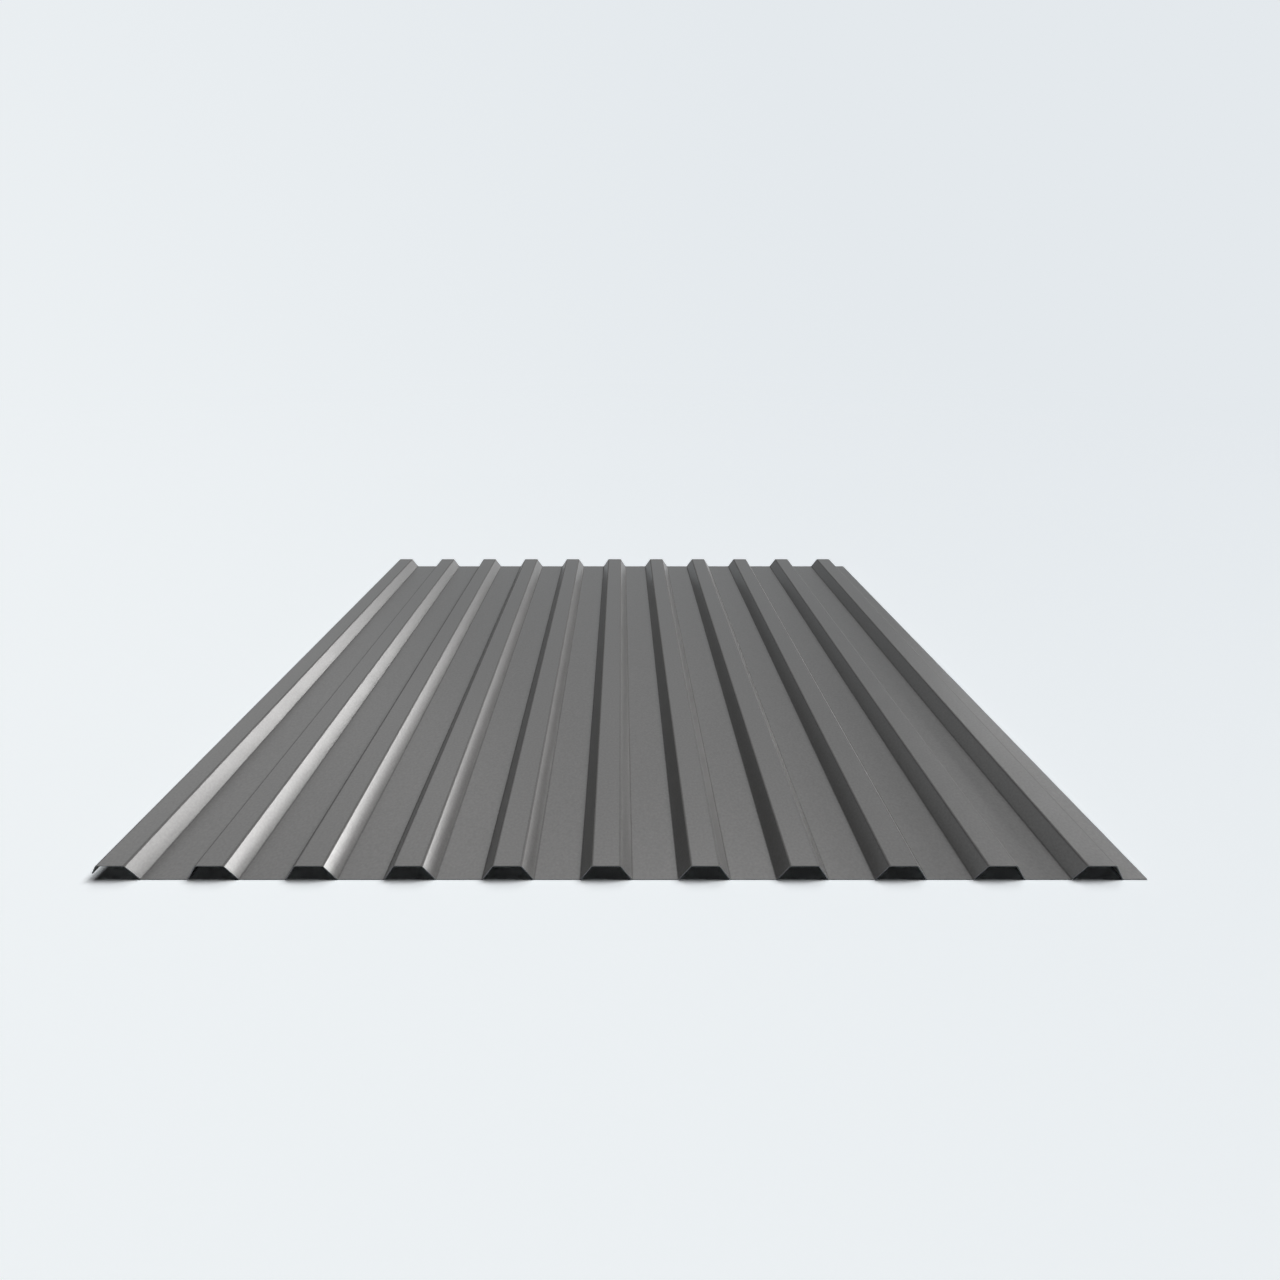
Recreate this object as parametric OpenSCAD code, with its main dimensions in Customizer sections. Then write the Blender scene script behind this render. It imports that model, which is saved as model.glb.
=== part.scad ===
/* [Sheet] */
// Length of the sheet, along its ribs
sheet_l = 1000; // [200:10:8000]
// Thickness of the steel
sheet_t = 1; // [0.4:0.1:1.5]

/* [Ribs] */
// Number of ribs across the sheet
rib_count = 11; // [2:1:15]
// Distance from the middle of one rib to the middle of the next
rib_pitch = 110; // [100:1:250]
// Height of a rib, from trough to crest on the same face
rib_h = 20; // [15:1:45]
// Width of a crest, between the two bend lines of its top face
crest_w = 32; // [20:1:50]
// Level distance that each sloping web covers
web_run = 13; // [4:1:20]
// Inside radius of every bend
bend_r = 2; // [1:0.5:4]

/* [Side laps] */
// Height of the short lip's edge over what the troughs lie on
lip_gap = 9; // [2:1:10]
// Width of the flat foot beyond the last rib
foot_w = 27; // [15:1:50]

/* [Hidden] */

// Flats along each bend
bend_steps = 6;

// Angle of the webs, and how far the lip and the foot reach from the middle of their ribs
web_a = atan(rib_h / web_run);
lip_h = lip_gap + sheet_t * cos(web_a);
lip_reach = crest_w / 2 + (sheet_t + rib_h - lip_h) / tan(web_a);
foot_reach = crest_w / 2 + web_run + foot_w;

// Middles of the ribs, with the whole width centred on X = 0
first_rib = (lip_reach - foot_reach - (rib_count - 1) * rib_pitch) / 2;
ribs = [for (i = [0:rib_count - 1]) first_rib + i * rib_pitch];

// Levels of the top face in the troughs and on the crests
trough_z = sheet_t;
crest_z = sheet_t + rib_h;

// Bend lines of the top face as points across the sheet, between its two edges
folds = [
    [ribs[0] - lip_reach, lip_h],
    for (x = ribs) each [
        if (x > ribs[0]) [x - crest_w / 2 - web_run, trough_z],
        [x - crest_w / 2, crest_z],
        [x + crest_w / 2, crest_z],
        [x + crest_w / 2 + web_run, trough_z]
    ],
    [ribs[rib_count - 1] + foot_reach, trough_z]
];
last_fold = len(folds) - 1;

// Direction of the strip that leaves fold k, and the unit vector that points up from a strip
function heading(k) = atan2(folds[k + 1].y - folds[k].y, folds[k + 1].x - folds[k].x);
function up(a) = [-sin(a), cos(a)];

// Arc of fold k at a depth below the top face. Every arc of a bend has the same centre,
// above the sheet in a trough and below it on a crest, so the steel keeps its thickness.
function bend(k, depth) =
    let (
        a_in = heading(k - 1),
        a_out = heading(k),
        side = sign(a_out - a_in),
        top_r = side > 0 ? bend_r : bend_r + sheet_t,
        centre = folds[k] + side * top_r / cos((a_out - a_in) / 2) * up((a_in + a_out) / 2)
    )
    [
        for (j = [0:bend_steps])
            let (a = a_in + (a_out - a_in) * j / bend_steps)
            centre - (side * top_r + depth) * up(a)
    ];

// One face of the sheet from the lip's edge to the foot's edge, at a depth below the top face
function face(depth) = [
    folds[0] - depth * up(heading(0)),
    for (k = [1:last_fold - 1]) each bend(k, depth),
    folds[last_fold] - depth * up(heading(last_fold - 1))
];

module section() {
    top = face(0);
    underside = face(sheet_t);
    polygon([each underside, for (k = [len(top) - 1:-1:0]) top[k]]);
}

module trapezoidal_sheet()
    color("#7A7A7A")
        rotate([90, 0, 0])
            linear_extrude(height = sheet_l, center = true)
                section();

trapezoidal_sheet();
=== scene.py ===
"""Finish and studio for a trapezoidal steel sheet: coil coating, cut edges, floor, lamps and camera."""

import math

import bpy
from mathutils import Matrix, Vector


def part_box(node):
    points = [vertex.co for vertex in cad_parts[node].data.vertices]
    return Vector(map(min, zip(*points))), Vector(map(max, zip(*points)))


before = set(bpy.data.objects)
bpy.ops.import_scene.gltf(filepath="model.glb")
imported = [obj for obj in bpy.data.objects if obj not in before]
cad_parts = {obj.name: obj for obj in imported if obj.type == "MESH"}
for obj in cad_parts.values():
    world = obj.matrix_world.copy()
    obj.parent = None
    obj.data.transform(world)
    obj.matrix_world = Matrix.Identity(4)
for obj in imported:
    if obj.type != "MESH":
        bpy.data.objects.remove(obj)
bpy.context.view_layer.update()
SHEET = "trapezoidal_sheet"
SHEET_LOW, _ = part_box(SHEET)

bl_info = {
    "name": "Trapezoidal sheet finish",
    "version": (1, 0, 0),
    "blender": (4, 5, 0),
    "location": "3D View > Sidebar > Sheet",
    "description": "Coats a trapezoidal steel sheet and sets it on a pale studio floor",
    "category": "Material",
}

MM = 0.001

# Side of the square picture in pixels, focal length in them, and the pixel that the lens axis goes through
FRAME_PIXELS = 1280
FOCAL_PIXELS = 606.3
AXIS_PIXEL = (620.8, 578.3)
SENSOR_MM = 36
NEAREST_SEEN, FARTHEST_SEEN = 10 * MM, 500

# Rise and run of a web in millimetres, as in the part, and their angle over the level
WEB_RISE, WEB_RUN = 20, 13
WEB_ANGLE = math.atan(WEB_RISE / WEB_RUN)

# The lip is cut square to its web, so the cut faces down along it. LIP_CUT is how far in from the side
# the cut reaches
DOWN_THE_LIP = (-math.cos(WEB_ANGLE), 0, -math.sin(WEB_ANGLE))
LIP_CUT = 0.9 * MM

# A face counts as cut where its normal is this close to the direction of the cut
SQUARE = 0.97

# Sideways part of the normal past which a face is no longer level, and short of which it isn't yet a web
LEVEL_END = 0.04
WEB_START = 0.815

# Upward part of the normal under which a face belongs to the underside
UNDERSIDE = -0.3

# Noise patterns of the finish: the size of their blotches in millimetres, how many finer layers they have,
# and how strong each layer is against the one before
DRIFT_MM, DRIFT_DETAIL = 90, 1
SHEEN_MM, SHEEN_DETAIL = 35, 2
MOTTLE_DETAIL = 2
PEEL_MM, PEEL_DETAIL = 1.5, 2
SHEAR_MM, SHEAR_DETAIL = 0.6, 3
LAYER_STRENGTH = 0.55

# How many times longer the drift is along the sheet than across it
DRIFT_STRETCH = 4

# Least and most that each pattern multiplies the colour by
DRIFT_TINT = (0.985, 1.015)
MOTTLE_TINT = (0.78, 1.22)
SHEAR_TINT = (0.6, 1.4)

# Refraction of the polyester film, height and strength of its orange peel, and roughness of a sheared face
COAT_IOR = 1.5
PEEL_HEIGHT = 0.02 * MM
PEEL_STRENGTH = 0.12
SHEARED_ROUGHNESS = 0.55

# Sockets of a Mix node for two numbers, for two colours, and for the colour that comes out
NUMBER_A, NUMBER_B = 2, 3
COLOUR_A, COLOUR_B, COLOUR_OUT = 6, 7, 2

# Name, turn, height, spread, strength and whether it is seen only in gloss
LAMPS = (
    ("right", 80, 52, 20, 0.575, False),
    ("top", 20, 68, 36, 0.2, False),
    ("right_sheen", 50, 8, 28, 0.4, True),
    ("right_low_sheen", 57, 4, 12, 0.36, True),
    ("right_far_sheen", 38, 13, 12, 0.08, True),
    ("back_sheen", 0, 48, 40, 0.07, True),
    ("left_sheen", -40, 40, 40, 0.08, True),
    ("left_low_sheen", -60, 20, 40, 0.04, True),
)

# Share of its written colour that the lamps light the level floor to
LIT_LEVEL = sum(
    strength * math.sin(math.radians(height))
    for _, _, height, _, strength, gloss_only in LAMPS
    if not gloss_only
)

# Where the floor starts to take the backdrop's even light, and where it has no other, in metres from the
# middle of the sheet
FADE_START = 1.5
FADE_END = 8

# How the backdrop drifts from pale to deep along X, Y and Z, and its share of deep straight at the middle
BACKDROP_DRIFT = (0.5, 0.31, 0.35)
BACKDROP_MIDDLE = 0.5

# Gap under the sheet, too small to see, that keeps the floor's face and the sheet's apart
FLOOR_GAP = 0.05 * MM


def linear(code):
    """Scene-linear red, green and blue of an sRGB hex colour."""
    parts = [int(code[i : i + 2], 16) / 255 for i in (1, 3, 5)]
    return [p / 12.92 if p <= 0.04045 else ((p + 0.055) / 1.055) ** 2.4 for p in parts]


def per_metre(size_mm):
    """Noise scale on Object coordinates whose blotches are size_mm across."""
    return 1 / (size_mm * MM)


def new_material(name):
    """An empty node material and its tree."""
    made = bpy.data.materials.new(name)
    made.use_nodes = True
    made.node_tree.nodes.clear()
    return made, made.node_tree


def add_node(tree, kind, settings=None, links=None):
    """Adds a node, sets its own settings and unlinked sockets, and links the sockets that are fed. A link
    comes from a socket, or from a node, whose first output it takes."""
    made = tree.nodes.new(kind)
    for name, value in (settings or {}).items():
        if isinstance(name, str) and hasattr(made, name):
            setattr(made, name, value)
        else:
            made.inputs[name].default_value = value
    for name, source in (links or {}).items():
        socket = source.outputs[0] if isinstance(source, bpy.types.Node) else source
        tree.links.new(socket, made.inputs[name])
    return made


class CoatSettings(bpy.types.PropertyGroup):
    """Colours and scales of the sheet's finish."""

    top_colour: bpy.props.FloatVectorProperty(
        name="Top coat",
        description="Colour of the coil coating on the weather side",
        subtype="COLOR",
        min=0,
        max=1,
        default=linear("#6F6E6D"),
    )
    back_colour: bpy.props.FloatVectorProperty(
        name="Back coat",
        description="Colour of the thin protective coat underneath",
        subtype="COLOR",
        min=0,
        max=1,
        default=linear("#6E6E6D"),
    )
    edge_colour: bpy.props.FloatVectorProperty(
        name="Cut edge",
        description="Colour of the bare steel and zinc on the sheared edges",
        subtype="COLOR",
        min=0,
        max=1,
        default=linear("#7E8081"),
    )
    pearl: bpy.props.FloatProperty(
        name="Pearl",
        description="How much the pearl pigment makes the coat shine like metal",
        subtype="FACTOR",
        min=0,
        max=1,
        default=0.3,
    )
    gloss_low: bpy.props.FloatProperty(
        name="Smoothest",
        description="Roughness where the coat is smoothest",
        subtype="FACTOR",
        min=0,
        max=1,
        default=0.28,
    )
    gloss_high: bpy.props.FloatProperty(
        name="Roughest",
        description="Roughness where the flat coat is roughest",
        subtype="FACTOR",
        min=0,
        max=1,
        default=0.34,
    )
    bend_gloss: bpy.props.FloatProperty(
        name="Bends",
        description="Roughness round the bends, where rolling stretches the coat dull",
        subtype="FACTOR",
        min=0,
        max=1,
        default=0.9,
    )
    grain: bpy.props.FloatProperty(
        name="Grain",
        description="Size of the coating's fine mottle",
        unit="LENGTH",
        subtype="DISTANCE",
        min=0.5 * MM,
        max=20 * MM,
        default=3 * MM,
    )


class StageSettings(bpy.types.PropertyGroup):
    """Floor, backdrop and camera."""

    pale_colour: bpy.props.FloatVectorProperty(
        name="Pale backdrop",
        description="Colour of the floor and backdrop towards the near left",
        subtype="COLOR",
        min=0,
        max=1,
        default=linear("#F0F4F6"),
    )
    deep_colour: bpy.props.FloatVectorProperty(
        name="Deep backdrop",
        description="Colour of the floor and backdrop towards the far right",
        subtype="COLOR",
        min=0,
        max=1,
        default=linear("#E4E9ED"),
    )
    floor_reach: bpy.props.FloatProperty(
        name="Floor reach",
        description="Half the width of the floor",
        unit="LENGTH",
        subtype="DISTANCE",
        min=5,
        max=100,
        default=60,
    )
    camera_height: bpy.props.FloatProperty(
        name="Camera height",
        description="Height of the lens over the floor",
        unit="LENGTH",
        subtype="DISTANCE",
        min=0.1,
        max=3,
        default=564.6 * MM,
    )
    camera_distance: bpy.props.FloatProperty(
        name="Camera distance",
        description="Level distance from the sheet's front edge back to the lens",
        unit="LENGTH",
        subtype="DISTANCE",
        min=0.1,
        max=5,
        default=506.6 * MM,
    )
    camera_tilt: bpy.props.FloatProperty(
        name="Camera tilt",
        description="How far the camera looks down from level",
        unit="ROTATION",
        subtype="ANGLE",
        min=0,
        max=math.radians(90),
        default=math.radians(21.65),
    )


def cut_edges(tree, place, normal):
    """1 on the sheared edges: both ends, the foot's side edge and the square-cut edge of the lip."""
    facing = add_node(tree, "ShaderNodeSeparateXYZ", None, {0: normal}).outputs
    lengthways = add_node(tree, "ShaderNodeMath", {"operation": "ABSOLUTE"}, {0: facing["Y"]})
    ends = add_node(tree, "ShaderNodeMath", {"operation": "GREATER_THAN", 1: SQUARE}, {0: lengthways})
    foot = add_node(tree, "ShaderNodeMath", {"operation": "GREATER_THAN", 1: SQUARE}, {0: facing["X"]})
    down_the_lip = add_node(
        tree, "ShaderNodeVectorMath", {"operation": "DOT_PRODUCT", 1: DOWN_THE_LIP}, {0: normal}
    ).outputs["Value"]
    cut = add_node(tree, "ShaderNodeMath", {"operation": "GREATER_THAN", 1: SQUARE}, {0: down_the_lip})
    # The undersides of other webs' bends face the same way, so only the outermost strip counts
    across = add_node(tree, "ShaderNodeSeparateXYZ", None, {0: place})
    outermost = add_node(
        tree, "ShaderNodeMath", {"operation": "LESS_THAN", 1: SHEET_LOW.x + LIP_CUT}, {0: across}
    )
    lip = add_node(tree, "ShaderNodeMath", {"operation": "MULTIPLY"}, {0: cut, 1: outermost})
    ends_and_foot = add_node(tree, "ShaderNodeMath", {"operation": "MAXIMUM"}, {0: ends, 1: foot})
    return add_node(tree, "ShaderNodeMath", {"operation": "MAXIMUM"}, {0: ends_and_foot, 1: lip})


def bends(tree, normal):
    """1 round the bends, and 0 on the level faces and the webs."""
    facing = add_node(tree, "ShaderNodeSeparateXYZ", None, {0: normal}).outputs["X"]
    sideways = add_node(tree, "ShaderNodeMath", {"operation": "ABSOLUTE"}, {0: facing})
    not_level = add_node(tree, "ShaderNodeMath", {"operation": "GREATER_THAN", 1: LEVEL_END}, {0: sideways})
    not_web = add_node(tree, "ShaderNodeMath", {"operation": "LESS_THAN", 1: WEB_START}, {0: sideways})
    return add_node(tree, "ShaderNodeMath", {"operation": "MULTIPLY"}, {0: not_level, 1: not_web})


def coil_coat():
    """Coil coating on galvanised strip: polyester with a little pearl pigment, rolled on and baked."""
    # To the eye an even satin grey with a faint mottle, and bare steel with its zinc where the strip was cut
    coat = bpy.context.scene.sheet_coat
    made, tree = new_material("coil_coated_steel")
    source = add_node(tree, "ShaderNodeTexCoord").outputs
    place, normal = source["Object"], source["Normal"]
    drawn_out = add_node(
        tree, "ShaderNodeMapping", {"Scale": (1, 1 / DRIFT_STRETCH, 1)}, {"Vector": place}
    )

    # The drift is the film's thickness across the strip. The pigment's mottle is about 1 mm, and is drawn at
    # the size of the grain setting because the real one is too fine to show. The sheen follows the pressure of
    # the rollers. The orange peel of the baked film is 1.5 mm from hump to hump, and the shear marks stand
    # across the thickness of the cut, a few to the millimetre.
    patterns = {
        "drift": (DRIFT_MM, DRIFT_DETAIL, drawn_out),
        "mottle": (coat.grain / MM, MOTTLE_DETAIL, place),
        "sheen": (SHEEN_MM, SHEEN_DETAIL, place),
        "peel": (PEEL_MM, PEEL_DETAIL, place),
        "shear": (SHEAR_MM, SHEAR_DETAIL, place),
    }
    noise = {
        name: add_node(
            tree,
            "ShaderNodeTexNoise",
            {"Scale": per_metre(size_mm), "Detail": detail, "Roughness": LAYER_STRENGTH},
            {"Vector": where},
        )
        for name, (size_mm, detail, where) in patterns.items()
    }
    ranges = {
        "drift": DRIFT_TINT,
        "mottle": MOTTLE_TINT,
        "sheen": (coat.gloss_low, coat.gloss_high),
        "shear": SHEAR_TINT,
    }
    level = {
        name: add_node(tree, "ShaderNodeMapRange", {"To Min": low, "To Max": high}, {"Value": noise[name]})
        for name, (low, high) in ranges.items()
    }

    facing = add_node(tree, "ShaderNodeSeparateXYZ", None, {0: normal}).outputs
    below = add_node(tree, "ShaderNodeMath", {"operation": "LESS_THAN", 1: UNDERSIDE}, {0: facing["Z"]})
    paint = add_node(
        tree,
        "ShaderNodeMix",
        {"data_type": "RGBA", COLOUR_A: (*coat.top_colour, 1), COLOUR_B: (*coat.back_colour, 1)},
        {0: below},
    ).outputs[COLOUR_OUT]
    tint = add_node(
        tree, "ShaderNodeMath", {"operation": "MULTIPLY"}, {0: level["mottle"], 1: level["drift"]}
    )
    painted = add_node(tree, "ShaderNodeVectorMath", {"operation": "SCALE"}, {0: paint, "Scale": tint})
    sheared = add_node(
        tree, "ShaderNodeVectorMath", {"operation": "SCALE", 0: coat.edge_colour}, {"Scale": level["shear"]}
    )

    edge = cut_edges(tree, place, normal)
    colour = add_node(
        tree, "ShaderNodeMix", {"data_type": "RGBA"}, {0: edge, COLOUR_A: painted, COLOUR_B: sheared}
    ).outputs[COLOUR_OUT]
    # Rolling stretches the film round each bend into fine cracks, which turn it dull there
    bend = bends(tree, normal)
    coated = add_node(
        tree, "ShaderNodeMix", {NUMBER_B: coat.bend_gloss}, {0: bend, NUMBER_A: level["sheen"]}
    )
    roughness = add_node(tree, "ShaderNodeMix", {NUMBER_B: SHEARED_ROUGHNESS}, {0: edge, NUMBER_A: coated})
    metal = add_node(tree, "ShaderNodeMix", {NUMBER_A: coat.pearl, NUMBER_B: 1.0}, {0: edge})
    peel = add_node(
        tree,
        "ShaderNodeBump",
        {"Strength": PEEL_STRENGTH, "Distance": PEEL_HEIGHT},
        {"Height": noise["peel"]},
    )
    surface = add_node(
        tree,
        "ShaderNodeBsdfPrincipled",
        {"IOR": COAT_IOR},
        {"Base Color": colour, "Roughness": roughness, "Metallic": metal, "Normal": peel},
    )
    add_node(tree, "ShaderNodeOutputMaterial", None, {"Surface": surface})
    return made


def drifting_backdrop(tree, place):
    """Backdrop colour at a place given as a direction of at most unit length: a faint drift from pale at the
    near left to deeper at the far right."""
    stage = bpy.context.scene.sheet_stage
    along = add_node(
        tree, "ShaderNodeVectorMath", {"operation": "DOT_PRODUCT", 1: BACKDROP_DRIFT}, {0: place}
    ).outputs["Value"]
    share = add_node(tree, "ShaderNodeMath", {"operation": "ADD", 1: BACKDROP_MIDDLE}, {0: along})
    return add_node(
        tree,
        "ShaderNodeMix",
        {"data_type": "RGBA", COLOUR_A: (*stage.pale_colour, 1), COLOUR_B: (*stage.deep_colour, 1)},
        {0: share},
    ).outputs[COLOUR_OUT]


def floor_material():
    """Matt painted studio floor. The camera sees it at its full colour, with the shadow as deep as the lamps
    make it, and gloss sees it at the level that the lamps light it to. Far out it turns as even as the
    backdrop, so that no line shows where they meet."""
    made, tree = new_material("pale_studio_floor")
    place = add_node(tree, "ShaderNodeTexCoord").outputs["Object"]
    far = add_node(tree, "ShaderNodeVectorMath", {"operation": "LENGTH"}, {0: place}).outputs["Value"]
    # A place over its own distance plus one is 0 at the middle, and far out it becomes its direction
    reach = add_node(tree, "ShaderNodeMath", {"operation": "ADD", 1: 1.0}, {0: far})
    inverse = add_node(tree, "ShaderNodeMath", {"operation": "DIVIDE", 0: 1.0}, {1: reach})
    bounded = add_node(tree, "ShaderNodeVectorMath", {"operation": "SCALE"}, {0: place, "Scale": inverse})
    colour = drifting_backdrop(tree, bounded)
    camera = add_node(tree, "ShaderNodeLightPath").outputs["Is Camera Ray"]
    gain = add_node(tree, "ShaderNodeMapRange", {"To Min": 1.0, "To Max": 1 / LIT_LEVEL}, {"Value": camera})
    seen = add_node(tree, "ShaderNodeVectorMath", {"operation": "SCALE"}, {0: colour, "Scale": gain})
    lit = add_node(tree, "ShaderNodeBsdfDiffuse", None, {"Color": seen})
    glow = add_node(tree, "ShaderNodeMapRange", {"To Min": LIT_LEVEL, "To Max": 1.0}, {"Value": camera})
    even = add_node(tree, "ShaderNodeEmission", None, {"Color": colour, "Strength": glow})
    away = add_node(
        tree, "ShaderNodeMapRange", {"From Min": FADE_START, "From Max": FADE_END}, {"Value": far}
    )
    shown = add_node(tree, "ShaderNodeMixShader", None, {0: away, 1: lit, 2: even})
    made.cycles.emission_sampling = "NONE"
    add_node(tree, "ShaderNodeOutputMaterial", None, {"Surface": shown})
    return made


def pale_world():
    """Backdrop past the floor: at its full colour for the camera, and at the floor's lit level in gloss and
    glass. It gives no other light."""
    world = bpy.data.worlds.new("pale_backdrop")
    world.use_nodes = True
    tree = world.node_tree
    tree.nodes.clear()
    place = add_node(tree, "ShaderNodeTexCoord").outputs["Generated"]
    ray = add_node(tree, "ShaderNodeLightPath").outputs
    bounced = add_node(
        tree,
        "ShaderNodeMath",
        {"operation": "MAXIMUM"},
        {0: ray["Is Glossy Ray"], 1: ray["Is Transmission Ray"]},
    )
    level = add_node(
        tree,
        "ShaderNodeMath",
        {"operation": "MULTIPLY_ADD", 1: LIT_LEVEL},
        {0: bounced, 2: ray["Is Camera Ray"]},
    )
    shown = add_node(
        tree, "ShaderNodeBackground", None, {"Color": drifting_backdrop(tree, place), "Strength": level}
    )
    add_node(tree, "ShaderNodeOutputWorld", None, {"Surface": shown})
    bpy.context.scene.world = world


def soft_sun(name, turn, height, spread, strength, gloss_only=False):
    """Wide soft lamp far away. turn is its direction from behind the sheet towards the right, height its
    elevation and spread the width of its disc, all in degrees. A strength of 1 lights a facing surface so
    that its colour renders as it is written."""
    lamp = bpy.data.lights.new(name, "SUN")
    lamp.angle = math.radians(spread)
    lamp.energy = strength * math.pi
    holder = bpy.data.objects.new(name, lamp)
    level = math.cos(math.radians(height))
    towards = Vector(
        (
            math.sin(math.radians(turn)) * level,
            math.cos(math.radians(turn)) * level,
            math.sin(math.radians(height)),
        )
    )
    holder.rotation_euler = towards.to_track_quat("Z", "Y").to_euler()
    holder.visible_diffuse = not gloss_only
    bpy.context.scene.collection.objects.link(holder)
    return holder


def set_camera():
    """Camera at the picture's viewpoint, with the shift that its framing has."""
    stage = bpy.context.scene.sheet_stage
    lens = bpy.data.cameras.new("camera")
    lens.sensor_width = SENSOR_MM
    lens.lens = FOCAL_PIXELS / FRAME_PIXELS * SENSOR_MM
    lens.shift_x = 0.5 - AXIS_PIXEL[0] / FRAME_PIXELS
    lens.shift_y = AXIS_PIXEL[1] / FRAME_PIXELS - 0.5
    lens.clip_start = NEAREST_SEEN
    lens.clip_end = FARTHEST_SEEN
    holder = bpy.data.objects.new("camera", lens)
    holder.location = (0, SHEET_LOW.y - stage.camera_distance, stage.camera_height)
    holder.rotation_euler = (math.radians(90) - stage.camera_tilt, 0, 0)
    bpy.context.scene.collection.objects.link(holder)
    bpy.context.scene.camera = holder


class SHEET_OT_coat(bpy.types.Operator):
    """Give the sheet its coil coating"""

    bl_idname = "sheet.coat"
    bl_label = "Coat the sheet"

    def execute(self, context):
        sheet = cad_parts[SHEET]
        if not sheet.material_slots:
            sheet.data.materials.append(None)
        material = coil_coat()
        for slot in sheet.material_slots:
            slot.material = material
        return {"FINISHED"}


class SHEET_OT_stage(bpy.types.Operator):
    """Set the floor, backdrop, lamps and camera"""

    bl_idname = "sheet.stage"
    bl_label = "Set the stage"

    def execute(self, context):
        stage = context.scene.sheet_stage
        bpy.ops.object.select_all(action="DESELECT")
        level = SHEET_LOW.z - FLOOR_GAP
        bpy.ops.mesh.primitive_plane_add(size=2 * stage.floor_reach, location=(0, 0, level))
        floor = context.object
        floor.name = "floor"
        bpy.ops.object.transform_apply(location=True, rotation=True, scale=True)
        floor.data.materials.append(floor_material())
        pale_world()
        for lamp in LAMPS:
            soft_sun(*lamp)
        set_camera()
        context.scene.view_settings.view_transform = "Standard"
        return {"FINISHED"}


class SHEET_PT_panel(bpy.types.Panel):
    """Sheet tools in the sidebar"""

    bl_idname = "SHEET_PT_panel"
    bl_label = "Trapezoidal sheet"
    bl_space_type = "VIEW_3D"
    bl_region_type = "UI"
    bl_category = "Sheet"

    def draw(self, context):
        for settings in (context.scene.sheet_coat, context.scene.sheet_stage):
            for name in settings.__annotations__:
                self.layout.prop(settings, name)
        self.layout.operator(SHEET_OT_coat.bl_idname)
        self.layout.operator(SHEET_OT_stage.bl_idname)


CLASSES = (CoatSettings, StageSettings, SHEET_OT_coat, SHEET_OT_stage, SHEET_PT_panel)


def register():
    for item in CLASSES:
        bpy.utils.register_class(item)
    bpy.types.Scene.sheet_coat = bpy.props.PointerProperty(type=CoatSettings)
    bpy.types.Scene.sheet_stage = bpy.props.PointerProperty(type=StageSettings)


def unregister():
    del bpy.types.Scene.sheet_stage
    del bpy.types.Scene.sheet_coat
    for item in reversed(CLASSES):
        bpy.utils.unregister_class(item)


def main():
    register()
    bpy.ops.sheet.coat()
    bpy.ops.sheet.stage()


if __name__ == "__main__":
    main()
